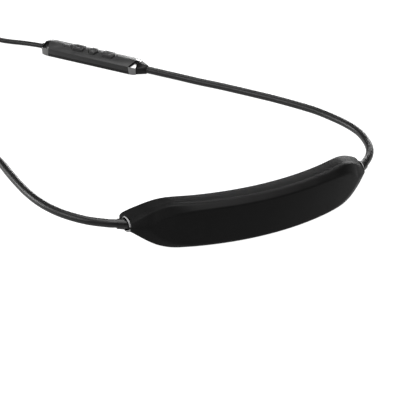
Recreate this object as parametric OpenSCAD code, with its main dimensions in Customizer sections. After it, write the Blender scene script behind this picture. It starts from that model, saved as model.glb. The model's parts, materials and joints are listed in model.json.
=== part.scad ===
// Neckband earphones: a curved nape housing, two springy arms, two in-line modules
// and two earbuds on thin cables. Millimetres, +Z up, +Y forward from the nape.
// The origin is on the housing's flat underside, below the middle of the cord arc.

/* [Nape housing] */
// Radius of the arc through the two arm mouths
nape_r = 123; // [120:1:126]
// Half angle of that arc, in degrees
nape_half = 27.5; // [27:0.5:28]
// Height of the nape housing
nape_h = 19; // [18:0.5:20]
// Wall thickness of the nape housing
nape_wall = 1.3; // [1:0.1:1.5]

/* [Arms and cables] */
// Diameter of the arm sheath
arm_d = 3.4; // [3.2:0.1:3.5]
// Diameter of the thin earbud cable
cable_d = 2.3; // [2:0.1:2.4]

/* [In-line modules] */
// Width of an in-line module at its shoulders
pod_w = 11; // [10.6:0.2:11.4]
// Length of its body at the shoulders
pod_len = 40.5; // [40:0.5:42]
// Wall thickness of its shells
pod_wall = 0.9; // [0.8:0.1:1]
// Travel of every button
press = 0.35; // [0.2:0.05:0.4]

/* [Earbuds] */
// Outer radius of the earbud housing
bud_r = 6; // [5.8:0.1:6.2]

/* [Hidden] */
$fn = 64;
hull_fn = 32;

// Nape housing
cord_z = 9;                      // height of the arm mouths
face_out = 4.9;                  // outer face, outward from the arc
ridge_out = 2.3;                 // upper ridge of the outer chamfer
foot_out = 3.6;                  // lower ridge of the outer chamfer
seam_out = 0.4;                  // parting face between the two shells
inner_c = 137.8;                 // centre of the neck-side curve, on Y
inner_r = 132.5;                 // radius of the neck-side curve
nape_skew = 1;                   // the housing sits one degree round the arc
mouth_angle = 26.8;
mouth_r = 2.7;
screw_angles = [-19.5, 19.5];
screw_heights = [5.4, 13];

// In-line modules: the cord axis is the local X axis, +Y is the left side
pod_z = 2.4;                     // height of the cord axis above the surface
shoulder_z = 2;
roof_z = 3.3;
floor_z = -pod_z;
pod_floor_w = pod_w - 2.4;
pod_point = 1.8;                 // how far the roof ridge runs past the shoulders
split_z = -0.7;
bezel_len = 3.7;
relief_len = 4.2;
button_top = 3.9;
button_play = 0.15;
remote_at = [6.3, 161.3, pod_z];
remote_turn = 129.2;
charger_at = [-56.4, 165.8, pod_z];
charger_turn = 72.5;
up_outline = [[4.2, -2.5], [4.2, 2.5], [8.8, 2.5], [11, 0], [8.8, -2.5]];
play_outline = [[-3.1, 0], [-1.8, 2.6], [0.5, 2.6], [1.9, 0], [0.5, -2.6], [-1.8, -2.6]];
down_outline = [[-5.2, 0], [-5.9, 2.5], [-10.8, 2.5], [-11.6, 0], [-10.8, -2.5], [-5.9, -2.5]];
button_x = [7.2, -0.6, -8.4];
power_outline = [[-2.4, 0], [-1.2, 2.2], [1.2, 2.2], [2.4, 0], [1.2, -2.2], [-1.2, -2.2]];
power_x = 9;
light_x = 15.2;
port_x = -4;
side_tilt = -15.25;              // slope of the side facets
board_z = -0.5;
mic_x = 14.2;

// Earbuds: the local X axis points out of the nozzle, the stem leaves along +Y
bud_z = 6.4;
stem_len = 12.6;
stem_drop = 18;
tip_pull = 7;
right_bud_at = [-59.5, 232.5, bud_z];
right_bud_turn = -90;
left_bud_at = [-91.5, 157.2, bud_z];
left_bud_turn = 0;

// Routes, from the nape outwards
right_arm_route = [[51.7, 11.4, 9], [57, 14.2, 9], [63.5, 19, 8.9], [68.5, 25, 8.7], [72, 32.5, 8.4],
    [74, 40.5, 8], [74, 49, 7.5], [72.5, 58, 6.9], [70, 67.5, 6.2], [66, 77, 5.4], [61.5, 86, 4.7],
    [56.5, 94.5, 4.1], [51.5, 103, 3.4], [46, 111, 3], [40, 119, 2.6], [34.2, 127, 2.4],
    [29.1, 133.3, 2.4], [24.1, 139.5, 2.4], [20.8, 143.5, 2.4]];
left_arm_route = [[-55.6, 13.3, 9], [-61, 16.4, 9], [-64, 18.3, 8.9], [-70, 23.5, 8.7], [-75, 30.5, 8.4],
    [-78, 37.5, 8], [-79.8, 45.5, 7.5], [-80.4, 54.5, 6.9], [-80, 64.5, 6.2], [-79.2, 73.5, 5.5],
    [-78.3, 81, 4.9], [-77.7, 90, 4.2], [-76.5, 100, 3.6], [-74, 110, 3], [-71.3, 119.5, 2.6],
    [-68, 129, 2.4], [-66.4, 134, 2.4], [-64.8, 139, 2.4], [-63.2, 144.2, 2.4]];
right_cable_route = [[-8.2, 179, 2.4], [-11, 182.3, 2.4], [-14, 186.2, 2], [-17.3, 190.2, 1.5], [-21, 193.7, 1.2],
    [-24.6, 197.2, 1.2], [-26.2, 201.5, 1.2], [-25.6, 207, 1.3], [-24.4, 209.4, 1.4]];
left_cable_route = [[-49.5, 187.6, 2.4], [-48.6, 190.6, 2.4], [-48.2, 193.5, 2], [-49.6, 197, 1.5], [-52.4, 199.2, 1.2],
    [-56, 199.8, 1.2], [-61, 199.8, 1.2], [-66, 199.8, 1.3], [-71, 199.8, 1.5]];
right_tail_route = [[-44.8, 234.9, 2.8], [-47.4, 234.5, 2.5], [-50.6, 234.5, 3.5], [-53.8, 234.5, 4.55]];
left_tail_route = [[-93.7, 176.8, 3.3], [-93.6, 173, 2.8], [-93.5, 169.3, 2.5], [-93.5, 166.1, 3.5], [-93.5, 162.9, 4.55]];

// Cable coils
coil_mid = 12.5;
coil_w = 2 * cable_d + 0.2;
coil_lift = 0.5;
coil_h = 2 * cable_d;
right_coil_at = [-35, 222];
left_coil_at = [-80, 186];
tie_w = 4;

// ---------- shared shapes ----------

function unit(v) = v / norm(v);
function along(p, i) = unit(p[min(i + 1, len(p) - 1)] - p[max(i - 1, 0)]);
function ring(c, t, r, n) = let (s = unit(cross(t, [0, 0, 1])), u = cross(s, t))
    [for (k = [0:n - 1]) c + r * cos(360 * k / n) * s + r * sin(360 * k / n) * u];

// A solid tube swept along a route
module cord(p, d, n = 8) {
    m = len(p);
    polyhedron(
        points = [for (i = [0:m - 1]) each ring(p[i], along(p, i), d / 2, n)],
        faces = concat(
            [[for (k = [0:n - 1]) k]],
            [for (i = [0:m - 2], k = [0:n - 1])
                [i * n + k, (i + 1) * n + k, (i + 1) * n + (k + 1) % n, i * n + (k + 1) % n]],
            [[for (k = [n - 1:-1:0]) (m - 1) * n + k]]),
        convexity = 6);
}

// A hollow tube swept along a route
module sheath(p, d, bore, n = 8) {
    m = len(p);
    w = 2 * n;
    polyhedron(
        points = [for (i = [0:m - 1]) each concat(
            ring(p[i], along(p, i), d / 2, n), ring(p[i], along(p, i), bore / 2, n))],
        faces = concat(
            [for (k = [0:n - 1]) [k, (k + 1) % n, n + (k + 1) % n, n + k]],
            [for (i = [0:m - 2], k = [0:n - 1])
                [i * w + k, (i + 1) * w + k, (i + 1) * w + (k + 1) % n, i * w + (k + 1) % n]],
            [for (i = [0:m - 2], k = [0:n - 1])
                [i * w + n + (k + 1) % n, (i + 1) * w + n + (k + 1) % n, (i + 1) * w + n + k, i * w + n + k]],
            [for (k = [0:n - 1])
                [(m - 1) * w + n + k, (m - 1) * w + n + (k + 1) % n, (m - 1) * w + (k + 1) % n, (m - 1) * w + k]]),
        convexity = 6);
}

// Children placed on the nape arc: local X is the tangent, +Y points to the neck
module on_arc(angle, height) {
    translate([nape_r * sin(angle), nape_r * (1 - cos(angle)), height])
        rotate(angle) children();
}

// Turns the housing round the arc to where it sits between the arms
module nape_seat() {
    translate([0, nape_r, 0]) rotate(-nape_skew) translate([0, -nape_r, 0]) children();
}

// Children placed at an arm mouth of the housing, with local +Z pointing out along the arm; side is 1 or -1
module at_mouth(side) {
    mirror([side > 0 ? 0 : 1, 0, 0]) on_arc(mouth_angle, cord_z) rotate([0, 90, 0]) children();
}

function mouth_of(side) = let (a = side * mouth_angle - nape_skew)
    [nape_r * sin(a), nape_r * (1 - cos(a)), cord_z];

// A section of [outward, height] points swept round the nape arc
module arc_solid(section, half) {
    translate([0, nape_r, 0])
        rotate(-90 - half)
            rotate_extrude(angle = 2 * half, $fn = 180)
                polygon([for (q = section) [nape_r + q[0], q[1]]]);
}

// The housing's outline seen from behind, drawn in by a margin
module nape_outline(margin) {
    x1 = 43.5 - margin * 0.4;
    x2 = 51 - margin * 0.5;
    x3 = 61;
    low = [margin, 3 + margin, 6.6 + margin * 0.8];
    rotate([90, 0, 0])
        linear_extrude(height = 60, center = true)
            polygon([[-x3, low[2]], [-x2, low[1]], [-x1, low[0]], [x1, low[0]], [x2, low[1]], [x3, low[2]],
                [x3, nape_h - low[2]], [x2, nape_h - low[1]], [x1, nape_h - low[0]],
                [-x1, nape_h - low[0]], [-x2, nape_h - low[1]], [-x3, nape_h - low[2]]]);
}

module neck_curve(margin) {
    translate([0, inner_c, -1]) cylinder(h = nape_h + 2, r = inner_r + margin, $fn = 240);
}

module mouth_bores() {
    for (side = [-1, 1]) at_mouth(side) translate([0, 0, -8]) cylinder(h = 14, r = mouth_r);
}

// The space between two parallel sloping planes: z runs from h + a x + b y by low to high
module slab(h, a, b, low, high) {
    c = [[-14, -14], [18, -14], [18, 14], [-14, 14]];
    polyhedron(
        points = [for (z = [low, high], q = c) [q[0], q[1], h + a * q[0] + b * q[1] + z]],
        faces = [[0, 1, 2, 3], [4, 5, 1, 0], [7, 6, 5, 4], [5, 6, 2, 1], [6, 7, 3, 2], [7, 4, 0, 3]]);
}

// What the end facets take off: sloping top, the two chamfers, the nose and the oblique end face
module end_cuts(margin) {
    for (side = [0, 1]) mirror([side, 0, 0]) {
        on_arc(24.2, 0) {
            slab(14.5 - margin * 1.17, -0.54, 0.26, 0, 30);
            slab(17.3 - margin * 1.88, -0.57, 1.5, 0, 40);
            slab(-6.4 + margin * 3.5, 0.6, -3.3, -60, 0);
            translate([-3, -face_out, 0]) rotate(11.3) translate([-4, margin - 10, -1]) cube([24, 10, 22]);
        }
        on_arc(27.2, 0) rotate(-29) translate([-margin * 1.8, -20, -1]) cube([14, 40, 22]);
    }
}

module nape_cavity() {
    w = nape_wall;
    intersection() {
        difference() {
            arc_solid([[-9, w], [foot_out - w * 0.7, w], [face_out - w, w + 1.4], [face_out - w, nape_h - w - 1.6],
                [ridge_out - w * 0.4, nape_h - w], [-9, nape_h - w]], nape_half - 0.6);
            neck_curve(w);
            end_cuts(w);
        }
        nape_outline(w);
    }
}

// ---------- nape housing ----------

module screw_places() {
    for (angle = screw_angles, height = screw_heights) on_arc(angle, height) children();
}

module nape_outer_shell() color([0.055, 0.055, 0.06]) {
    difference() {
        intersection() {
            arc_solid([[seam_out, 0], [foot_out, 0], [face_out, 1.3], [face_out, nape_h - 1.6],
                [ridge_out, nape_h], [seam_out, nape_h]], nape_half + 1.2);
            nape_outline(0);
        }
        end_cuts(0);
        nape_cavity();
        mouth_bores();
    }
    screw_places() difference() {
        translate([0, -seam_out, 0]) rotate([90, 0, 0]) cylinder(h = face_out - nape_wall - seam_out + 0.2, r = 1.7);
        translate([0, 0, 0]) rotate([90, 0, 0]) cylinder(h = 3, r = 0.76);
    }
}

module nape_inner_shell() color([0.06, 0.06, 0.065]) {
    difference() {
        union() {
            difference() {
                intersection() {
                    difference() {
                        arc_solid([[-9, 0], [seam_out, 0], [seam_out, nape_h], [-9, nape_h]], nape_half + 1.2);
                        neck_curve(0);
                        end_cuts(0);
                    }
                    nape_outline(0);
                }
                nape_cavity();
            }
            screw_places() translate([0, 3.6, 0]) rotate([90, 0, 0]) cylinder(h = 3.6 + seam_out, r = 1.9);
        }
        mouth_bores();
        screw_places() {
            translate([0, 8, 0]) rotate([90, 0, 0]) cylinder(h = 8.1 + seam_out, r = 0.85);
            translate([0, 8, 0]) rotate([90, 0, 0]) cylinder(h = 5.9, r = 1.45);
        }
    }
}

module nape_screws() color([0.2, 0.2, 0.21]) screw_places() difference() {
    union() {
        translate([0, 3.1, 0]) rotate([90, 0, 0]) cylinder(h = 1, r = 1.35);
        translate([0, 2.2, 0]) rotate([90, 0, 0]) cylinder(h = 4.7, r = 0.74);
    }
    translate([0, 3.2, 0]) for (turn = [0, 90]) rotate([0, turn, 0]) cube([1.7, 1.3, 0.4], center = true);
}

module battery_cell() color([0.75, 0.76, 0.78]) on_arc(-9, nape_h / 2) {
    difference() {
        translate([-17, -1.8, -6.5]) cube([34, 4.2, 13]);
        for (x = [-17, 17], y = [-1.8, 2.4]) translate([x, y, 0]) rotate(45) cube([1, 1, 20], center = true);
    }
    translate([15, -1.2, 2]) cube([3.4, 2.4, 3]);
}

module main_board() color([0.05, 0.25, 0.14]) on_arc(10, nape_h / 2) difference() {
    translate([-17, 0, -6.8]) cube([34, 0.8, 13.6]);
    for (x = [-15, 15], z = [-5.2, 5.2]) translate([x, 2, z]) rotate([90, 0, 0]) cylinder(h = 4, r = 0.6);
}

module board_chips() color([0.1, 0.1, 0.11]) on_arc(10, nape_h / 2) {
    translate([-13, -0.9, -4]) cube([6, 0.9, 6]);
    translate([-5, -0.7, -5]) cube([3, 0.7, 4]);
    translate([5.5, 0.8, -5]) cube([7, 1, 5]);
    translate([-12, 0.8, -1]) cube([4, 1.2, 3]);
    translate([9, -1, 3]) cube([4, 1, 2.4]);
}

module radio_shield() color([0.78, 0.79, 0.8]) on_arc(10, nape_h / 2) difference() {
    translate([-1, -1.5, -5]) cube([9, 1.5, 9]);
    translate([-0.8, -1.3, -4.8]) cube([8.6, 1.31, 8.6]);
}

module antenna_strip() color([0.72, 0.45, 0.2])
    translate([0, nape_r, 0]) rotate(-88) rotate_extrude(angle = 15.2, $fn = 180)
        translate([nape_r + 3, 12]) square([0.3, 4]);

module mouth_grommet(side) color([0.02, 0.02, 0.02]) at_mouth(side) difference() {
    translate([0, 0, -2.4]) cylinder(h = 1.5, r = mouth_r - 0.02);
    cylinder(h = 8, r = arm_d / 2 + 0.55, center = true);
}

// ---------- arms ----------

module arm_collar(side, route) color([0.03, 0.03, 0.03]) {
    t = unit(route[1] - route[0]);
    translate(mouth_of(side) + 1.2 * t)
        rotate([0, 90 - asin(t[2]), atan2(t[1], t[0])])
            difference() {
                cylinder(h = 2.8, r1 = 2.15, r2 = 2.05);
                translate([0, 0, -1]) cylinder(h = 5, r = arm_d / 2 + 0.1);
            }
}

module memory_wire(route, at, turn) color([0.7, 0.7, 0.72])
    cord(concat(route, [at - (pod_len / 2 - 0.2) * [cos(turn), sin(turn), 0]]), 0.8);

// ---------- in-line modules ----------

module pod_place(at, turn) {
    translate(at) rotate(turn) children();
}

function pod_section(k, lift) = [[-k * pod_w / 2, shoulder_z * k + lift], [0, roof_z * k + lift],
    [k * pod_w / 2, shoulder_z * k + lift], [k * pod_floor_w / 2, floor_z * k + lift],
    [-k * pod_floor_w / 2, floor_z * k + lift]];

module pod_prism(section, length) {
    rotate([90, 0, 90]) linear_extrude(height = length, center = true) polygon(section);
}

// The body's plan outline: both ends come to a shallow point on the roof ridge
module pod_plan(margin) {
    x = pod_len / 2 - margin;
    linear_extrude(height = 20, center = true)
        polygon([[-x, -8], [-x, -pod_w / 2], [-x - pod_point, 0], [-x, pod_w / 2], [-x, 8],
            [x, 8], [x, pod_w / 2], [x + pod_point, 0], [x, -pod_w / 2], [x, -8]]);
}

module pod_body() intersection() {
    pod_prism(pod_section(1, 0), pod_len + 10);
    pod_plan(0);
}

module pod_hollow() {
    w = pod_wall;
    v = w + 0.4;
    s = [[-pod_w / 2 + v, shoulder_z - w * 0.7], [0, roof_z - w], [pod_w / 2 - v, shoulder_z - w * 0.7],
        [pod_floor_w / 2 - v, floor_z + w], [-pod_floor_w / 2 + v, floor_z + w]];
    pod_prism(s, pod_len - 2.4);
}

module above(z) {
    translate([-40, -20, z]) cube([80, 40, 20]);
}

module end_bores() {
    rotate([0, 90, 0]) cylinder(h = 70, r = 0.9, center = true);
}

module button_well(outline) {
    linear_extrude(height = 10) offset(delta = button_play) polygon(outline);
}

module pod_upper(outlines) difference() {
    intersection() {
        pod_body();
        above(split_z);
    }
    pod_hollow();
    end_bores();
    for (outline = outlines) button_well(outline);
}

module pod_lower() difference() {
    pod_body();
    above(split_z);
    pod_hollow();
    end_bores();
}

module pod_board() difference() {
    translate([-18.6, -3.2, board_z]) cube([37.2, 6.4, 0.6]);
    for (x = [-17, 17]) translate([x, 2, 0]) cylinder(h = 3, r = 0.5, center = true);
}

module dome_switch(x) translate([x, 0, board_z + 0.6]) {
    translate([-1.5, -1.5, 0]) cube([3, 3, 0.5]);
    cylinder(h = 0.8, r1 = 1.2, r2 = 0.8);
}

// A slab that follows the roof, from one depth below its ridge to another
module under_roof(top, bottom) {
    drop = 5 * (roof_z - shoulder_z) / (pod_w / 2);
    pod_prism([[-5, roof_z - top - drop], [0, roof_z - top], [5, roof_z - top - drop],
        [5, roof_z - bottom - drop], [0, roof_z - bottom], [-5, roof_z - bottom - drop]], 60);
}

// A button cap with a retaining flange under the roof and a stem down to its switch
module pod_button(outline, x) {
    difference() {
        intersection() {
            linear_extrude(height = button_top) polygon(outline);
            under_roof(-2, pod_wall + 0.85);
        }
        translate([x, 0, button_top - 0.2]) cylinder(h = 1, r = 0.55);
        translate([0, 0, -1]) linear_extrude(height = roof_z - 0.4) offset(delta = -0.8) polygon(outline);
    }
    difference() {
        intersection() {
            linear_extrude(height = button_top) offset(delta = 0.5) polygon(outline);
            under_roof(pod_wall + 0.35, pod_wall + 0.85);
        }
        linear_extrude(height = button_top) offset(delta = -0.8) polygon(outline);
    }
    translate([x, 0, board_z + 1.8]) cylinder(h = 1.8, r = 0.8);
}

// Bezel: a silver six-sided cone frustum fitted over the body's pointed end; side is 1 or -1
module pod_bezel(side, cord_bore) difference() {
    x0 = pod_len / 2;
    hull() {
        translate([side * (x0 + 0.05), 0, 0]) pod_prism(pod_section(1, 0), 0.1);
        translate([side * (x0 + pod_point + 0.4), 0, 0]) pod_prism(pod_section(0.97, 0), 0.1);
        translate([side * (x0 + bezel_len - 0.05), 0, 0]) pod_prism(pod_section(0.88, 0), 0.1);
    }
    pod_body();
    rotate([0, 90, 0]) cylinder(h = 70, r = cord_bore, center = true);
}

// Rubber relief between a bezel and a cord
module pod_relief(side, length, cord, start) difference() {
    x0 = pod_len / 2 + bezel_len;
    hull() {
        translate([side * (x0 + 0.05), 0, 0]) pod_prism(pod_section(start, 0), 0.1);
        translate([side * (x0 + length - 0.05), 0, 0]) rotate([0, 90, 0])
            cylinder(h = 0.1, r = cord / 2 + 0.35, center = true, $fn = hull_fn);
    }
    rotate([0, 90, 0]) cylinder(h = 70, r = cord / 2 + 0.05, center = true);
}

module remote_place() pod_place(remote_at, remote_turn) children();
module charger_place() pod_place(charger_at, charger_turn) children();

module remote_upper_shell() color([0.2, 0.2, 0.2]) remote_place() difference() {
    pod_upper([up_outline, play_outline, down_outline]);
    for (p = [[mic_x + 0.9, 0], [mic_x - 0.6, 1.2], [mic_x - 0.6, -1.2]])
        translate([p[0], p[1], 0]) cylinder(h = 6, r = 0.35);
}

module remote_lower_shell() color([0.08, 0.08, 0.08]) remote_place() pod_lower();

module remote_board() color([0.05, 0.25, 0.14]) remote_place() pod_board();

module remote_switches() color([0.8, 0.8, 0.78]) remote_place() for (x = button_x) dome_switch(x);

module microphone() color([0.8, 0.7, 0.4]) remote_place()
    translate([mic_x, 0, board_z + 0.6]) cylinder(h = 1.2, r = 1.6);

module volume_up_button() color([0.2, 0.2, 0.2]) remote_place() pod_button(up_outline, button_x[0]);
module play_button() color([0.2, 0.2, 0.2]) remote_place() pod_button(play_outline, button_x[1]);
module volume_down_button() color([0.2, 0.2, 0.2]) remote_place() pod_button(down_outline, button_x[2]);

module remote_inner_bezel() color([0.75, 0.75, 0.77]) remote_place() pod_bezel(-1, arm_d / 2 + 0.05);
module remote_outer_bezel() color([0.75, 0.75, 0.77]) remote_place() pod_bezel(1, cable_d / 2 + 0.05);
module remote_inner_relief() color([0.03, 0.03, 0.03]) remote_place() pod_relief(-1, relief_len, arm_d, 0.8);
module remote_outer_relief() color([0.03, 0.03, 0.03]) remote_place() pod_relief(1, 1.6, cable_d, 0.45);

// Children placed on the side facet: local X along the module, -Z down the facet, +Y outwards
module on_side() {
    translate([0, pod_w / 2, shoulder_z]) rotate([side_tilt, 0, 0]) children();
}

module flap_recess() translate([port_x, 0, 0]) on_side() translate([-6, -0.7, -4.1]) cube([12, 3, 3.85]);

module charger_upper_shell() color([0.2, 0.2, 0.2]) charger_place() difference() {
    pod_upper([power_place(power_outline)]);
    translate([light_x, 0, 0]) cylinder(h = 6, r = 0.65);
    flap_recess();
    port_hole();
}

module charger_lower_shell() color([0.08, 0.08, 0.08]) charger_place() difference() {
    pod_lower();
    flap_recess();
    port_hole();
}

function power_place(outline) = [for (q = outline) q + [power_x, 0]];

module port_hole() translate([port_x, 0, 0]) on_side() translate([-3.95, -8, -3.65]) cube([7.9, 9, 2.8]);

module charger_board() color([0.05, 0.25, 0.14]) charger_place() difference() {
    translate([-18.6, -3.2, board_z]) cube([37.2, 6.4, 0.6]);
    translate([port_x - 4.2, -2.3, board_z - 1]) cube([8.4, 9, 3]);
}

module charge_socket() color([0.75, 0.75, 0.77]) charger_place() translate([port_x, 0, 0]) on_side() {
    difference() {
        translate([0, -0.8, 0]) rotate([90, 0, 0]) linear_extrude(height = 5)
            polygon([[-3.1, -3.5], [3.1, -3.5], [3.8, -2.7], [3.8, -1], [-3.8, -1], [-3.8, -2.7]]);
        translate([0, 0, 0]) rotate([90, 0, 0]) linear_extrude(height = 5.4)
            polygon([[-2.95, -3.2], [2.95, -3.2], [3.5, -2.6], [3.5, -1.3], [-3.5, -1.3], [-3.5, -2.6]]);
    }
    translate([-2.6, -5.6, -2.1]) cube([5.2, 4, 0.4]);
}

module power_switch() color([0.8, 0.8, 0.78]) charger_place() dome_switch(power_x);

module power_button() color([0.2, 0.2, 0.2]) charger_place() pod_button(power_place(power_outline), power_x);

module status_light() color([0.9, 0.95, 1]) charger_place() {
    translate([light_x, 0, board_z + 0.6]) cylinder(h = roof_z - board_z - 0.7, r = 0.6);
    translate([light_x, 0, board_z + 0.6]) cylinder(h = 1, r = 1.1);
}

// Rubber flap over the charging socket, hinged along its upper edge
module socket_flap() color([0.03, 0.03, 0.03]) charger_place() translate([port_x, 0, 0]) on_side() {
    translate([-5.8, -0.6, -3.95]) cube([11.6, 0.6, 3.1]);
    translate([-5.8, -0.3, -0.85]) rotate([0, 90, 0]) cylinder(h = 11.6, r = 0.3);
    translate([-1.5, 0, -3.7]) cube([3, 0.3, 0.5]);
}

module charger_inner_bezel() color([0.75, 0.75, 0.77]) charger_place() pod_bezel(-1, arm_d / 2 + 0.05);
module charger_outer_bezel() color([0.75, 0.75, 0.77]) charger_place() pod_bezel(1, cable_d / 2 + 0.05);
module charger_inner_relief() color([0.03, 0.03, 0.03]) charger_place() pod_relief(-1, relief_len, arm_d, 0.8);
module charger_outer_relief() color([0.03, 0.03, 0.03]) charger_place() pod_relief(1, 1.6, cable_d, 0.45);

// ---------- earbuds ----------

module bud_place(at, turn) {
    translate(at) rotate(turn) children();
}

module bud_revolve(profile) {
    rotate([0, 90, 0]) rotate_extrude() polygon(profile);
}

module stem_axis() {
    rotate([-stem_drop, 0, 0]) rotate([-90, 0, 0]) children();
}

module earbud_rear_shell() difference() {
    bud_revolve([[0, -6], [3.6, -6], [4.6, -5.6], [bud_r, -3.4], [bud_r, 0.5], [bud_r - 0.8, 0.5],
        [bud_r - 0.8, -3.2], [4.2, -4.8], [0, -5.1]]);
    translate([-2, 0, 0]) stem_axis() cylinder(h = 20, r = 1.8);
}

module earbud_front_shell() bud_revolve([[bud_r, 0.55], [bud_r, 1.6], [4.6, 4], [2.9, 5.2], [2.5, 6], [2.5, 10],
    [1.8, 10], [1.8, 5.6], [4, 3.2], [bud_r - 0.9, 1.4], [bud_r - 0.9, 0.55]]);

module earbud_driver() bud_revolve([[0, -1.2], [2.6, -1.2], [2.6, -0.4], [4.7, -0.4], [4.7, 1.4], [3.6, 1.9], [0, 2.2]]);

module earbud_mesh() bud_revolve([[0, 9.5], [1.75, 9.5], [1.75, 9.8], [0, 9.8]]);

module ear_tip() bud_revolve([[2.55, 6.3], [3.4, 6.3], [3.4, 9.6], [4.3, 10.6], [5.5, 9.2], [5.8, 6.5],
    [6.3, 6.5], [6.1, 9.2], [5, 11.6], [3.6, 12.6], [2.2, 12.6], [2.2, 10.3], [2.55, 10.3]]);

module earbud_stem() translate([-2, 0, 0]) stem_axis() difference() {
    union() {
        translate([0, 0, 4.4]) cylinder(h = 2.4, r = 1.75);
        translate([0, 0, 6.6]) cylinder(h = stem_len - 6.6, r1 = 2.1, r2 = 1.45);
    }
    translate([0, 0, 4]) cylinder(h = 20, r = cable_d / 2 + 0.05);
}

module right_bud() bud_place(right_bud_at, right_bud_turn) children();
module left_bud() bud_place(left_bud_at, left_bud_turn) children();

module right_earbud_rear_shell() color([0.2, 0.2, 0.2]) right_bud() earbud_rear_shell();
module right_earbud_front_shell() color([0.06, 0.06, 0.06]) right_bud() earbud_front_shell();
module right_earbud_driver() color([0.6, 0.6, 0.55]) right_bud() earbud_driver();
module right_earbud_mesh() color([0.6, 0.6, 0.6]) right_bud() earbud_mesh();
module right_ear_tip() color([0.1, 0.1, 0.1]) right_bud() ear_tip();
module right_earbud_stem() color([0.03, 0.03, 0.03]) right_bud() earbud_stem();
module left_earbud_rear_shell() color([0.2, 0.2, 0.2]) left_bud() earbud_rear_shell();
module left_earbud_front_shell() color([0.06, 0.06, 0.06]) left_bud() earbud_front_shell();
module left_earbud_driver() color([0.6, 0.6, 0.55]) left_bud() earbud_driver();
module left_earbud_mesh() color([0.6, 0.6, 0.6]) left_bud() earbud_mesh();
module left_ear_tip() color([0.1, 0.1, 0.1]) left_bud() ear_tip();
module left_earbud_stem() color([0.03, 0.03, 0.03]) left_bud() earbud_stem();

// ---------- earbud cables ----------

module cable(lead, tail) color([0.03, 0.03, 0.03]) {
    cord(lead, cable_d);
    cord(tail, cable_d);
}

module coil(at) color([0.04, 0.04, 0.04])
    translate([at[0], at[1], coil_lift]) rotate_extrude($fn = 96)
        translate([coil_mid - coil_w / 2, 0]) square([coil_w, coil_h]);

module tie(at, turn) color([0.15, 0.15, 0.15])
    translate([at[0], at[1], 0]) rotate(turn) difference() {
        translate([coil_mid - coil_w / 2 - 0.8, -tie_w / 2, 0]) cube([coil_w + 1.5, tie_w, coil_h + 1]);
        translate([coil_mid - coil_w / 2 - 0.35, -tie_w / 2 - 1, coil_lift - 0.05])
            cube([coil_w + 0.6, tie_w + 2, coil_h + 0.1]);
    }

nape_seat() nape_outer_shell();
nape_seat() nape_inner_shell();
nape_seat() nape_screws();
nape_seat() battery_cell();
nape_seat() main_board();
nape_seat() board_chips();
nape_seat() radio_shield();
nape_seat() antenna_strip();
nape_seat() mouth_grommet(1);  // right_mouth_grommet
nape_seat() mouth_grommet(-1);  // left_mouth_grommet
color([0.04, 0.04, 0.04]) sheath(right_arm_route, arm_d, 0.9);  // right_arm_sheath
memory_wire(right_arm_route, remote_at, remote_turn);  // right_memory_wire
arm_collar(1, right_arm_route);  // right_arm_collar
color([0.04, 0.04, 0.04]) sheath(left_arm_route, arm_d, 0.9);  // left_arm_sheath
memory_wire(left_arm_route, charger_at, charger_turn);  // left_memory_wire
arm_collar(-1, left_arm_route);  // left_arm_collar
remote_upper_shell();
remote_lower_shell();
remote_board();
remote_switches();
microphone();
volume_up_button();
play_button();
volume_down_button();
remote_inner_bezel();
remote_outer_bezel();
remote_inner_relief();
remote_outer_relief();
charger_upper_shell();
charger_lower_shell();
charger_board();
power_switch();
power_button();
status_light();
charge_socket();
socket_flap();
charger_inner_bezel();
charger_outer_bezel();
charger_inner_relief();
charger_outer_relief();
right_earbud_rear_shell();
right_earbud_front_shell();
right_earbud_driver();
right_earbud_mesh();
right_ear_tip();
right_earbud_stem();
left_earbud_rear_shell();
left_earbud_front_shell();
left_earbud_driver();
left_earbud_mesh();
left_ear_tip();
left_earbud_stem();
cable(right_cable_route, right_tail_route);  // right_cable
coil(right_coil_at);  // right_cable_coil
tie(right_coil_at, 200);  // right_cable_tie
cable(left_cable_route, left_tail_route);  // left_cable
coil(left_coil_at);  // left_cable_coil
tie(left_coil_at, 290);  // left_cable_tie
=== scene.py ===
"""Neckband earphones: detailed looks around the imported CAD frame.

Lengths are in millimetres unless a name says otherwise.
"""

import json
import math

import bmesh
import bpy
from mathutils import Matrix, Vector

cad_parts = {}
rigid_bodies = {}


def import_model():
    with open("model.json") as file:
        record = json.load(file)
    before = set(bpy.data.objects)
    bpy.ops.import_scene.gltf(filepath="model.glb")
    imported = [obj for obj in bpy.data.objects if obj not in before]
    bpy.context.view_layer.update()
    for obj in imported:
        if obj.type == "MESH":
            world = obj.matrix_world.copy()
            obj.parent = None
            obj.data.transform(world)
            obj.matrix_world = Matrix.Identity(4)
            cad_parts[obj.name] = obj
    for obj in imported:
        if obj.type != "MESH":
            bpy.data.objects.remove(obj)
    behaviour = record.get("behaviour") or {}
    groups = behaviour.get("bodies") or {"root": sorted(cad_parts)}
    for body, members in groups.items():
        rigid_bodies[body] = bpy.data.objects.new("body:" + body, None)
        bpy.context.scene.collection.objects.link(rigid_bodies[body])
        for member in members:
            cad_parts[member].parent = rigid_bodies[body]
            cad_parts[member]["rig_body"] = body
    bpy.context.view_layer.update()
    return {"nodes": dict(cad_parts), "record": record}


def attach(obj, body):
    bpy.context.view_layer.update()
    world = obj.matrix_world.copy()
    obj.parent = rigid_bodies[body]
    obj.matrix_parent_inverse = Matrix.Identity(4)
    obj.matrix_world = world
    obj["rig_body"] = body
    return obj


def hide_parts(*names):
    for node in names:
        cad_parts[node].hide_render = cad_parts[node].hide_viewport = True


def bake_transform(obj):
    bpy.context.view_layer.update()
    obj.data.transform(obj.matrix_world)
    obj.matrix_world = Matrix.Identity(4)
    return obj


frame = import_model()
nodes = frame["nodes"]
scene = bpy.context.scene
MM = 0.001

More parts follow.
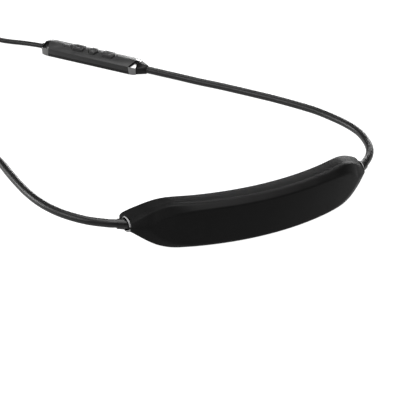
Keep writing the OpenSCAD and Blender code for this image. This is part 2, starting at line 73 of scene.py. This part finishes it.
# The CAD's driving dimensions, repeated because scene.py reads only the frame
NAPE_R = 123.0
CORD_Z = 9.0
INNER_C = 137.8
INNER_R = 132.5
ARM_D = 3.4
CABLE_D = 2.3
NAPE_SKEW = 1.0
MOUTH_ANGLE = 26.8

# ---------------------------------------------------------------- camera, light and floor


def look_at(location, target, roll):
    """A camera matrix that looks from location to target, turned by roll degrees about the view."""
    away = (Vector(location) - Vector(target)).normalized()
    right = Vector((0, 0, 1)).cross(away).normalized()
    up = away.cross(right)
    basis = Matrix((right, up, away)).transposed()
    return Matrix.Translation(location) @ (basis @ Matrix.Rotation(math.radians(roll), 3, "Z")).to_4x4()


cam_data = bpy.data.cameras.new("camera")
cam_data.lens = 144
cam_data.sensor_width = 36
cam_data.clip_start = 0.01
cam = bpy.data.objects.new("camera", cam_data)
scene.collection.objects.link(cam)
cam.matrix_world = look_at((-0.3308, -0.4378, 0.3368), (-0.0302, 0.0056, 0.018), 5.12)
scene.camera = cam
scene.view_settings.view_transform = "Standard"

world = bpy.data.worlds.new("studio")
scene.world = world
world.use_nodes = True
world.node_tree.nodes["Background"].inputs["Color"].default_value = (1, 1, 1, 1)
world.node_tree.nodes["Background"].inputs["Strength"].default_value = 0.05


def area_light(name, location, target, size, power):
    data = bpy.data.lights.new(name, "AREA")
    data.shape = "RECTANGLE"
    data.size, data.size_y = size
    data.energy = power
    lamp = bpy.data.objects.new(name, data)
    scene.collection.objects.link(lamp)
    lamp.matrix_world = look_at(location, target, 0)


area_light("left_softbox", (-1.0, 0.0, 0.55), (-0.02, 0.08, 0), (0.6, 0.5), 10)
area_light("left_back_softbox", (-0.85, 0.8, 0.2), (-0.02, 0.08, 0), (0.6, 0.35), 12)
area_light("right_back_softbox", (0.85, 0.95, 0.12), (0, 0.08, 0), (0.7, 0.22), 6)
area_light("top_softbox", (0.1, 0.05, 1.0), (0, 0.08, 0), (1.3, 0.6), 26)

# ---------------------------------------------------------------- materials


class Graph:
    """A small helper that adds nodes to one material and joins them."""

    def __init__(self, name):
        self.material = bpy.data.materials.new(name)
        self.material.use_nodes = True
        self.tree = self.material.node_tree
        self.shader = self.tree.nodes["Principled BSDF"]
        self.coords = self.add("ShaderNodeTexCoord").outputs["Object"]

    def add(self, kind, **settings):
        made = self.tree.nodes.new(kind)
        for key, value in settings.items():
            if key in made.inputs:
                made.inputs[key].default_value = value
            else:
                setattr(made, key, value)
        return made

    def join(self, output, target):
        self.tree.links.new(output, target)

    def noise(self, size, detail=3.0):
        """Noise with features of about size millimetres."""
        place = self.add("ShaderNodeMapping")
        place.inputs["Scale"].default_value = [1 / (size * MM)] * 3
        self.join(self.coords, place.inputs["Vector"])
        made = self.add("ShaderNodeTexNoise", Scale=1.0, Detail=detail, Roughness=0.55)
        self.join(place.outputs["Vector"], made.inputs["Vector"])
        return made.outputs["Fac"]

    def ramp(self, value, low, high, out_low, out_high):
        made = self.add("ShaderNodeMapRange")
        for key, number in (("From Min", low), ("From Max", high), ("To Min", out_low),
                            ("To Max", out_high)):
            made.inputs[key].default_value = number
        self.join(value, made.inputs["Value"])
        return made.outputs["Result"]

    def tint(self, value, dark, light):
        made = self.add("ShaderNodeMix", data_type="RGBA")
        made.inputs[6].default_value = (*dark, 1)
        made.inputs[7].default_value = (*light, 1)
        self.join(value, made.inputs[0])
        return made.outputs[2]

    def bump(self, value, depth, under=None):
        """Bump whose full height is depth micrometres, on top of another bump if one is given."""
        made = self.add("ShaderNodeBump", Strength=1.0, Distance=depth * 1e-6)
        self.join(value, made.inputs["Height"])
        if under is not None:
            self.join(under, made.inputs["Normal"])
        return made.outputs["Normal"]


def surface(slot, dark, light, rough, mottle=4.0, grain=0.3, depth=8.0, metallic=0.0, specular=0.5,
            coat=0.0, sheen=0.0, pebble=None):
    """One procedural finish: mottled colour, uneven gloss, a fine grain, and pebbles where asked for."""
    g = Graph(slot)
    s = g.shader
    cloud = g.noise(mottle, 4.0)
    g.join(g.tint(g.ramp(cloud, 0.3, 0.7, 0, 1), dark, light), s.inputs["Base Color"])
    fine = g.noise(grain, 2.0)
    mixed = g.add("ShaderNodeMath", operation="ADD")
    g.join(g.ramp(cloud, 0.3, 0.7, rough[0], rough[1]), mixed.inputs[0])
    g.join(g.ramp(fine, 0.3, 0.7, -0.04, 0.04), mixed.inputs[1])
    g.join(mixed.outputs["Value"], s.inputs["Roughness"])
    normal = g.bump(fine, depth)
    if pebble is not None:
        size, height = pebble
        place = g.add("ShaderNodeMapping")
        place.inputs["Scale"].default_value = [1 / (size * MM)] * 3
        g.join(g.coords, place.inputs["Vector"])
        cells = g.add("ShaderNodeTexVoronoi", Scale=1.0)
        g.join(place.outputs["Vector"], cells.inputs["Vector"])
        normal = g.bump(g.ramp(cells.outputs["Distance"], 0.0, 0.8, 1, 0), height, normal)
    g.join(normal, s.inputs["Normal"])
    s.inputs["Metallic"].default_value = metallic
    s.inputs["Specular IOR Level"].default_value = specular
    s.inputs["Coat Weight"].default_value = coat
    s.inputs["Sheen Weight"].default_value = sheen
    return g.material


def grey(value):
    return (value, value, value)


finish = {
    "soft_touch_black": surface("soft_touch_black", grey(0.003), grey(0.0045), (0.46, 0.54), 9, 0.16, 5,
                                specular=0.045, pebble=(0.22, 3)),
    "dark_grey_shell": surface("dark_grey_shell", grey(0.015), grey(0.019), (0.4, 0.48), 3, 0.14, 5,
                               specular=0.12),
    "black_shell": surface("black_shell", grey(0.004), grey(0.006), (0.34, 0.42), 3, 0.2, 3,
                           specular=0.12),
    "screw_steel": surface("screw_steel", grey(0.1), grey(0.16), (0.25, 0.4), 0.8, 0.1, 3,
                           metallic=1.0),
    "battery_foil": surface("battery_foil", grey(0.5), grey(0.62), (0.25, 0.4), 3, 0.8, 20,
                            metallic=0.9),
    "circuit_board": surface("circuit_board", (0.004, 0.07, 0.025), (0.008, 0.12, 0.045), (0.3, 0.4),
                             1.2, 0.4, 12,
                             coat=0.3),
    "chip_black": surface("chip_black", grey(0.015), grey(0.03), (0.5, 0.62), 0.7, 0.08, 5),
    "tin_plate": surface("tin_plate", grey(0.55), grey(0.68), (0.2, 0.32), 1.5, 0.15, 3, metallic=1.0),
    "antenna_copper": surface("antenna_copper", (0.45, 0.2, 0.08), (0.6, 0.32, 0.14), (0.3, 0.4), 1.5,
                              0.2, 4,
                              metallic=1.0),
    "cord_rubber": surface("cord_rubber", grey(0.003), grey(0.0045), (0.36, 0.42), 6, 0.2, 1.5,
                           specular=0.2),
    "memory_wire": surface("memory_wire", grey(0.4), grey(0.5), (0.25, 0.4), 2, 0.1, 3, metallic=1.0),
    "relief_rubber": surface("relief_rubber", grey(0.003), grey(0.005), (0.46, 0.56), 2, 0.15, 6,
                             specular=0.1),
    "polished_bezel": surface("polished_bezel", grey(0.1), grey(0.13), (0.12, 0.18), 2.5, 0.12, 1.5,
                              metallic=1.0),
    "switch_plastic": surface("switch_plastic", grey(0.45), grey(0.55), (0.4, 0.5), 1, 0.1, 4),
    "microphone_can": surface("microphone_can", (0.55, 0.42, 0.18), (0.65, 0.52, 0.25), (0.2, 0.3),
                              0.8, 0.1, 3,
                              metallic=1.0),
    "light_pipe": surface("light_pipe", (0.6, 0.66, 0.72), (0.7, 0.76, 0.82), (0.25, 0.35), 0.6, 0.1,
                          4, coat=0.4),
    "driver_cone": surface("driver_cone", grey(0.18), grey(0.26), (0.3, 0.42), 1, 0.15, 5),
    "mesh_steel": surface("mesh_steel", grey(0.2), grey(0.32), (0.3, 0.4), 0.6, 0.1, 3, metallic=1.0,
                          pebble=(0.16, 40)),
    "silicone_tip": surface("silicone_tip", grey(0.018), grey(0.026), (0.42, 0.5), 3, 0.2, 4,
                            specular=0.45,
                            sheen=0.15),
    # The mouth rims' lighter grey is a painted highlight: it stands in for the light their rounded edge
    # catches
    "rim_painted_highlight": surface("rim_painted_highlight", grey(0.1), grey(0.14), (0.3, 0.38), 2, 0.12, 2, specular=0.5),
    "cable_tie": surface("cable_tie", grey(0.02), grey(0.03), (0.45, 0.55), 2, 0.2, 6),
}
slot_of = {entry["node"]: entry["material_slot"] for entry in frame["record"]["subparts"]}
for node_name, cad in nodes.items():
    cad.data.materials.clear()
    cad.data.materials.append(finish[slot_of[node_name]])

floor_graph = Graph("paper_floor")
floor_graph.join(floor_graph.tint(floor_graph.noise(60.0), (0.1, 0.1, 0.1), (0.12, 0.12, 0.12)),
                 floor_graph.shader.inputs["Base Color"])
floor_graph.shader.inputs["Roughness"].default_value = 0.9
floor_graph.shader.inputs["Emission Color"].default_value = (1, 1, 1, 1)
floor_graph.shader.inputs["Emission Strength"].default_value = 1.0

# ---------------------------------------------------------------- mesh helpers


def link_mesh(name, mesh, body, slot, replaced=()):
    """Adds a finished mesh to the scene as a piece, riding on a body when one is given."""
    piece = bpy.data.objects.new(name, mesh)
    scene.collection.objects.link(piece)
    mesh.materials.clear()
    mesh.materials.append(finish[slot])
    # The mouth rims' finish, a lighter grey that paints their highlight, has no slot in the record
    if body:
        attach(piece, body)
    for node_name in replaced:
        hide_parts(node_name)
    return piece


def shade(mesh, angle=35):
    for face in mesh.polygons:
        face.use_smooth = True
    mesh.set_sharp_from_angle(angle=math.radians(angle))


def mesh_from(name, verts, faces, angle=35):
    mesh = bpy.data.meshes.new(name)
    mesh.from_pydata([tuple(v) for v in verts], [], faces)
    bm = bmesh.new()
    bm.from_mesh(mesh)
    bmesh.ops.remove_doubles(bm, verts=bm.verts, dist=1e-7)
    bmesh.ops.recalc_face_normals(bm, faces=bm.faces)
    bm.to_mesh(mesh)
    bm.free()
    shade(mesh, angle)
    return mesh


def loft(name, rings, angle=35):
    """A closed skin through rings of equal length."""
    n = len(rings[0])
    verts = [v for ring in rings for v in ring]
    faces = []
    for i in range(len(rings) - 1):
        for k in range(n):
            j = (k + 1) % n
            faces.append((i * n + k, i * n + j, (i + 1) * n + j, (i + 1) * n + k))
    faces.append(tuple(range(n)))
    faces.append(tuple(range((len(rings) - 1) * n, len(rings) * n)))
    return mesh_from(name, verts, faces, angle)


def catmull(points, step):
    """Points every step along a smooth curve through the given points."""
    pts = [Vector(p) for p in points]
    pts = [2 * pts[0] - pts[1]] + pts + [2 * pts[-1] - pts[-2]]
    dense = []
    for i in range(1, len(pts) - 2):
        a, b, c, d = pts[i - 1], pts[i], pts[i + 1], pts[i + 2]
        for k in range(24):
            t = k / 24
            dense.append(0.5 * (2 * b + (c - a) * t + (2 * a - 5 * b + 4 * c - d) * t * t
                                + (3 * b - a - 3 * c + d) * t ** 3))
    dense.append(pts[-2])
    out, gone = [dense[0]], 0.0
    total = sum((q - p).length for p, q in zip(dense, dense[1:]))
    count = max(2, round(total / step))
    want = total / count
    for p, q in zip(dense, dense[1:]):
        length = (q - p).length
        while gone + length >= want * len(out) and len(out) < count:
            out.append(p.lerp(q, (want * len(out) - gone) / length))
        gone += length
    out.append(dense[-1])
    return out


def frames(points):
    """A side and an up vector at every point, carried along without twist."""
    out = []
    side = None
    for i, p in enumerate(points):
        t = (points[min(i + 1, len(points) - 1)] - points[max(i - 1, 0)]).normalized()
        if side is None:
            side = t.cross(Vector((0, 0, 1))).normalized()
        side = (side - t * side.dot(t)).normalized()
        out.append((side, side.cross(t).normalized()))
    return out


def tube_rings(points, radius, sides):
    """Rings of one radius round a path."""
    rings = []
    for p, (side, up) in zip(points, frames(points)):
        rings.append([MM * (p + radius * (math.cos(a) * side + math.sin(a) * up))
                      for a in (2 * math.pi * k / sides for k in range(sides))])
    return rings


def through(table, x):
    """A smooth monotone curve through the (x, value) points of a table."""
    if x <= table[0][0]:
        return table[0][1]
    if x >= table[-1][0]:
        return table[-1][1]
    i = max(k for k in range(len(table) - 1) if table[k][0] <= x)

    def slope(k):
        if k <= 0 or k >= len(table) - 1:
            return 0.0 if k <= 0 else (table[k][1] - table[k - 1][1]) / (table[k][0] - table[k - 1][0])
        left = (table[k][1] - table[k - 1][1]) / (table[k][0] - table[k - 1][0])
        right = (table[k + 1][1] - table[k][1]) / (table[k + 1][0] - table[k][0])
        return 0.0 if left * right <= 0 else 2 * left * right / (left + right)

    (x0, y0), (x1, y1) = table[i], table[i + 1]
    h = x1 - x0
    t = (x - x0) / h
    return ((1 + 2 * t) * (1 - t) ** 2 * y0 + t * (1 - t) ** 2 * h * slope(i)
            + t * t * (3 - 2 * t) * y1 + t * t * (t - 1) * h * slope(i + 1))


def rounded(corners, steps=4):
    """A closed outline of (x, y, radius) corners, each turned into a small arc of steps + 1 points."""
    out = []
    count = len(corners)
    for i, (x, y, radius) in enumerate(corners):
        here = Vector((x, y))
        before = (Vector(corners[i - 1][:2]) - here)
        after = (Vector(corners[(i + 1) % count][:2]) - here)
        reach = min(radius, 0.45 * before.length, 0.45 * after.length)
        a = here + before.normalized() * reach if before.length > 1e-9 else here
        b = here + after.normalized() * reach if after.length > 1e-9 else here
        for k in range(steps + 1):
            t = k / steps
            out.append((1 - t) ** 2 * a + 2 * t * (1 - t) * here + t * t * b)
    return out


def refine(node_name, width, segments):
    """A copy of a CAD node with clean facets and rounded edges. It replaces the node."""
    cad = nodes[node_name]
    bm = bmesh.new()
    bm.from_mesh(cad.data)
    bmesh.ops.remove_doubles(bm, verts=bm.verts, dist=2e-6)
    bmesh.ops.dissolve_limit(bm, angle_limit=math.radians(1.0), verts=bm.verts, edges=bm.edges)
    mesh = bpy.data.meshes.new(node_name + "_detail")
    bm.to_mesh(mesh)
    bm.free()
    piece = link_mesh(node_name + "_detail", mesh, None, slot_of[node_name])
    bevel = piece.modifiers.new("rounding", "BEVEL")
    bevel.width = width * MM
    bevel.segments = segments
    bevel.limit_method = "ANGLE"
    bevel.angle_limit = math.radians(30)
    bevel.use_clamp_overlap = True
    apply_modifiers(piece)
    shade(piece.data, 40)
    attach(piece, cad["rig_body"])
    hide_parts(node_name)
    return piece


def apply_modifiers(piece):
    graph = bpy.context.evaluated_depsgraph_get()
    made = bpy.data.meshes.new_from_object(piece.evaluated_get(graph))
    old = piece.data
    piece.modifiers.clear()
    piece.data = made
    bpy.data.meshes.remove(old)


# ---------------------------------------------------------------- earbud cables, built first


COIL_TURNS = 2.25
COIL_STEP = 20
COIL_RADII = [(0, 13.7), (1.0, 11.35), (1.2, 11.35), (COIL_TURNS, 13.7)]
COIL_HEIGHTS = [(0, 1.65), (0.95, 1.65), (1.25, 3.95), (COIL_TURNS, 3.95)]


def coil_points(centre, start_angle, turns):
    """A coil's centre line, counter-clockwise from above, following the tables of the turns gone."""
    out = []
    count = round(turns * 360 / COIL_STEP)
    for k in range(count + 1):
        gone = turns * k / count
        a = math.radians(start_angle + 360 * gone)
        r, z = through(COIL_RADII, gone), through(COIL_HEIGHTS, gone)
        out.append(Vector((centre[0] + r * math.cos(a), centre[1] + r * math.sin(a), z)))
    return out


right_lead = [(-8.2, 179, 2.4), (-11, 182.3, 2.4), (-14, 186.2, 2), (-17.3, 190.2, 1.5),
              (-21, 193.7, 1.2),
              (-24.6, 197.2, 1.2), (-26.2, 201.5, 1.2), (-25.6, 207, 1.3), (-23.2, 212.5, 1.5),
              (-21.7, 217.5, 1.6)]
left_lead = [(-49.5, 187.6, 2.4), (-48.6, 190.6, 2.4), (-48.2, 193.5, 2), (-49.6, 197, 1.5),
             (-52.4, 199.2, 1.2),
             (-56, 199.8, 1.2), (-61, 199.8, 1.2), (-66, 199.8, 1.3), (-71, 199.8, 1.5),
             (-75.5, 199.75, 1.6)]
right_tail = [(-39.5, 235.6, 3.7), (-44.8, 234.9, 2.8), (-47.4, 234.5, 2.5), (-50.6, 234.5, 3.5),
              (-53.8, 234.5, 4.55)]
left_tail = [(-93.7, 181.5, 3.8), (-93.7, 176.8, 3.2), (-93.6, 173, 2.8), (-93.5, 169.3, 2.5),
             (-93.5, 166.1, 3.5),
             (-93.5, 162.9, 4.55)]
routes = {
    "right": right_lead + coil_points((-35, 222), 0, COIL_TURNS) + right_tail,
    "left": left_lead + coil_points((-80, 186), 90, COIL_TURNS) + left_tail,
}
for side, route in routes.items():
    line = catmull(route, 0.9)
    cable = link_mesh(side + "_earbud_cable", loft(side + "_earbud_cable",
                                                   tube_rings(line, CABLE_D / 2, 16)),
                      side + "_arm", "cord_rubber", (side + "_cable", side + "_cable_coil"))
    tie = refine(side + "_cable_tie", 0.5, 3)

# ---------------------------------------------------------------- nape housing

# Each table: a height or an outward distance, against the distance along the arc from the middle
NECK_TOP = [(0, 19.0), (30, 19.0), (38, 19.05), (42, 18.95), (46, 18.35), (49, 17.35), (51, 16.45),
            (53, 15.4),
            (55, 14.3), (57, 13.0), (59, 11.8)]
RIDGE_TOP = [(0, 19.0), (38, 19.0), (41, 18.9), (43, 18.5), (46, 17.4), (49, 16.0), (51, 14.9),
             (53, 13.6),
             (55, 12.4), (57, 11.3), (59, 10.4)]
LENS_TOP = [(0, 17.7), (20, 17.6), (30, 17.2), (38, 16.1), (43, 14.4), (46, 12.9), (48, 11.3),
            (49, 10.3),
            (50, 10.2), (53, 9.9), (56, 9.5), (59, 9.2)]
LENS_BASE = [(0, 1.2), (30, 1.4), (38, 2.4), (43, 4.4), (46, 6.2), (48, 7.9), (49, 8.6), (50, 8.9),
             (53, 9.1),
             (56, 9.0), (59, 8.8)]
FOOT = [(0, 0.0), (37, 0.0), (41, 0.3), (43, 0.75), (46, 1.6), (49, 2.9), (51, 3.9), (53, 4.95),
        (55, 6.0),
        (57, 7.0), (59, 7.8)]
NECK_FOOT = [(0, 0.0), (38, 0.0), (43, 0.5), (47, 1.4), (51, 2.6), (55, 3.9), (57, 4.6), (59, 5.3)]
LENS_OUT = [(0, 4.9), (44, 4.9), (49, 4.8), (52, 4.4), (55, 3.9), (59, 3.2)]
RIDGE_OUT = [(0, 2.3), (42, 2.5), (51, 2.4), (59, 2.0)]
FOOT_OUT = [(0, 3.6), (42, 3.6), (53, 3.4), (59, 2.6)]
SEAM_N = 0.4
SEAM_GAP = 0.02
BODY_END = 59.0
END_SLOPE = 0.56
BORE = 2.75
LIP_R = BORE + 0.05
LIP_THICK = 0.32
LIP_BACK = 0.95


def inner_n(s):
    """Where the neck-side face lies, measured outwards from the arc."""
    c = (INNER_C - NAPE_R) * math.cos(s / NAPE_R)
    k = (INNER_C - NAPE_R) ** 2 - INNER_R ** 2
    return -c + math.sqrt(c * c - k) - NAPE_R


def on_arc(s, n, z):
    """A point on the housing, which sits a degree round the arc."""
    a = s / NAPE_R - math.radians(NAPE_SKEW)
    r = NAPE_R + n
    return MM * Vector((r * math.sin(a), NAPE_R - r * math.cos(a), z))


def seam_heights(x, seam):
    """The heights where the seam meets the top band and the underside."""
    top, ridge = through(NECK_TOP, x), through(RIDGE_TOP, x)
    inner, out = inner_n(x), through(RIDGE_OUT, x)
    foot, neck_foot = through(FOOT, x), through(NECK_FOOT, x)
    foot_out = through(FOOT_OUT, x)
    high = ridge + (top - ridge) * (out - seam) / (out - inner)
    low = foot + (neck_foot - foot) * (foot_out - seam) / (foot_out - inner)
    return high, low


def outer_section(x):
    seam = SEAM_N + SEAM_GAP / 2
    at_seam, low_seam = seam_heights(x, seam)
    ridge, out = through(RIDGE_TOP, x), through(RIDGE_OUT, x)
    foot, foot_out = through(FOOT, x), through(FOOT_OUT, x)
    return rounded([(seam, low_seam, 0.03), (foot_out, foot, 0.8),
                    (through(LENS_OUT, x), through(LENS_BASE, x), 0.9),
                    (through(LENS_OUT, x), through(LENS_TOP, x), 0.7), (out, ridge, 0.6),
                    (seam, at_seam, 0.03)])


def inner_section(x):
    seam = SEAM_N - SEAM_GAP / 2
    at_seam, low_seam = seam_heights(x, seam)
    top, neck_foot = through(NECK_TOP, x), through(NECK_FOOT, x)
    inner = inner_n(x)
    return rounded([(seam, low_seam, 0.03), (seam, at_seam, 0.03), (inner, top, 0.7),
                    (inner, neck_foot, 0.9)])


def nape_shell(name, section, replaced):
    """A shell lofted along the arc; towards each end its sections lean into the oblique end face."""
    centre = (-1.0, CORD_Z)

    def ring(s, shrink=0.0):
        x = abs(s)
        sign = 1 if s >= 0 else -1
        lean = max(0.0, (x - 44) / (BODY_END - 44)) ** 1.5
        out = []
        for q in section(x):
            n = q[0] + (centre[0] - q[0]) * shrink
            z = q[1] + (centre[1] - q[1]) * shrink
            out.append(on_arc(sign * (x - END_SLOPE * n * lean), n, z))
        return out

    count = 120
    stations = [57.0 * (2 * k / count - 1) for k in range(count + 1)]
    rings = [ring(s) for s in stations]
    edge = [(57.5, 0.012), (58.0, 0.04), (58.4, 0.08), (58.7, 0.13), (58.9, 0.19), (59.0, 0.26)]
    left = [ring(-s, shrink) for s, shrink in reversed(edge)]
    right = [ring(s, shrink) for s, shrink in edge]
    return link_mesh(name, loft(name, left + rings + right, 40), "nape", "soft_touch_black", replaced)


def bore_cutter(side):
    """The cutter for the arm's entry: a straight round bore along the arc's tangent at the mouth;
    cut_bores rounds its lip.
    """
    a = side * math.radians(MOUTH_ANGLE) - math.radians(NAPE_SKEW)
    mouth = Vector((NAPE_R * math.sin(a), NAPE_R * (1 - math.cos(a)), CORD_Z))
    heading = Vector((side * math.cos(a), side * math.sin(a), 0))
    across = heading.cross(Vector((0, 0, 1)))
    rings = []
    for distance, radius in [(-6, BORE), (6, BORE)]:
        centre = mouth + distance * heading
        rings.append([MM * (centre + radius * (math.cos(t) * across + math.sin(t) * Vector((0, 0, 1))))
                      for t in (2 * math.pi * k / 40 for k in range(40))])
    cutter = bpy.data.objects.new("cutter", loft("cutter", rings))
    scene.collection.objects.link(cutter)
    return cutter


def cut_bores(piece):
    cutters = [bore_cutter(1), bore_cutter(-1)]
    for cutter in cutters:
        cut = piece.modifiers.new("bore", "BOOLEAN")
        cut.operation = "DIFFERENCE"
        cut.solver = "EXACT"
        cut.object = cutter
    bevel = piece.modifiers.new("lip", "BEVEL")
    bevel.width = 0.28 * MM
    bevel.segments = 3
    bevel.limit_method = "ANGLE"
    bevel.angle_limit = math.radians(50)
    apply_modifiers(piece)
    shade(piece.data, 40)
    for cutter in cutters:
        bpy.data.meshes.remove(cutter.data)


outer_shell = nape_shell("nape_outer_cover", outer_section, ["nape_outer_shell"])
inner_shell = nape_shell("nape_inner_cover", inner_section, ["nape_inner_shell"])
cut_bores(outer_shell)
cut_bores(inner_shell)


def mouth_lip(side):
    """The rolled rim round an arm's entry, in the plane of the oblique end face."""
    around, about = 64, 12
    verts = []
    for k in range(around):
        t = 2 * math.pi * k / around
        for j in range(about):
            u = 2 * math.pi * j / about
            r = LIP_R + LIP_THICK * math.cos(u)
            n = r * math.cos(t)
            along = BODY_END - LIP_BACK - END_SLOPE * n + LIP_THICK * math.sin(u)
            verts.append(on_arc(side * along, n, CORD_Z + r * math.sin(t)))
    faces = []
    for k in range(around):
        one, two = k * about, (k + 1) % around * about
        for j in range(about):
            m = (j + 1) % about
            faces.append((one + j, one + m, two + m, two + j))
    return mesh_from("mouth_lip", verts, faces, 60)


# The rims carry the lighter grey that paints the highlight along their rounded edge
link_mesh("right_mouth_lip", mouth_lip(1), "nape", "rim_painted_highlight")
link_mesh("left_mouth_lip", mouth_lip(-1), "nape", "rim_painted_highlight")

# ---------------------------------------------------------------- arms

ARM_ROUTES = {
    "right": [(51.7, 11.4, 9), (57, 14.2, 9), (63.5, 19, 8.9), (68.5, 25, 8.7), (72, 32.5, 8.4),
              (74, 40.5, 8),
              (74, 49, 7.5), (72.5, 58, 6.9), (70, 67.5, 6.2), (66, 77, 5.4), (61.5, 86, 4.7),
              (56.5, 94.5, 4.1),
              (51.5, 103, 3.4), (46, 111, 3), (40, 119, 2.6), (34.2, 127, 2.4), (29.1, 133.3, 2.4),
              (24.1, 139.5, 2.4), (20.8, 143.5, 2.4)],
    "left": [(-55.6, 13.3, 9), (-61, 16.4, 9), (-64, 18.3, 8.9), (-70, 23.5, 8.7), (-75, 30.5, 8.4),
             (-78, 37.5, 8),
             (-79.8, 45.5, 7.5), (-80.4, 54.5, 6.9), (-80, 64.5, 6.2), (-79.2, 73.5, 5.5),
             (-78.3, 81, 4.9),
             (-77.7, 90, 4.2), (-76.5, 100, 3.6), (-74, 110, 3), (-71.3, 119.5, 2.6), (-68, 129, 2.4),
             (-66.4, 134, 2.4), (-64.8, 139, 2.4), (-63.2, 144.2, 2.4)],
}
for side, route in ARM_ROUTES.items():
    line = catmull(route, 0.8)
    sheath = link_mesh(side + "_arm_cord", loft(side + "_arm_cord", tube_rings(line, ARM_D / 2, 24)),
                       None,
                       "cord_rubber", [side + "_arm_sheath"])
    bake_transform(sheath)

# ---------------------------------------------------------------- in-line modules, earbuds and small parts

for node_name in ("remote_upper_shell", "remote_lower_shell", "charger_upper_shell",
                  "charger_lower_shell"):
    refine(node_name, 0.18, 2)
for node_name in ("volume_up_button", "play_button", "volume_down_button", "power_button"):
    refine(node_name, 0.12, 2)
for pod in ("remote", "charger"):
    for end in ("inner", "outer"):
        refine(f"{pod}_{end}_bezel", 0.12, 2)
        refine(f"{pod}_{end}_relief", 0.15, 2)
refine("socket_flap", 0.1, 2)
for side in ("right", "left"):
    for part in ("rear_shell", "front_shell", "stem"):
        refine(f"{side}_earbud_{part}", 0.2, 3)
    refine(side + "_ear_tip", 0.25, 3)

# ---------------------------------------------------------------- floor

bm = bmesh.new()
bmesh.ops.create_grid(bm, x_segments=2, y_segments=2, size=3.0)
floor_mesh = bpy.data.meshes.new("floor")
bm.to_mesh(floor_mesh)
bm.free()
floor_mesh.materials.append(floor_graph.material)
floor = bpy.data.objects.new("floor", floor_mesh)
scene.collection.objects.link(floor)
floor.location.z = -0.0001
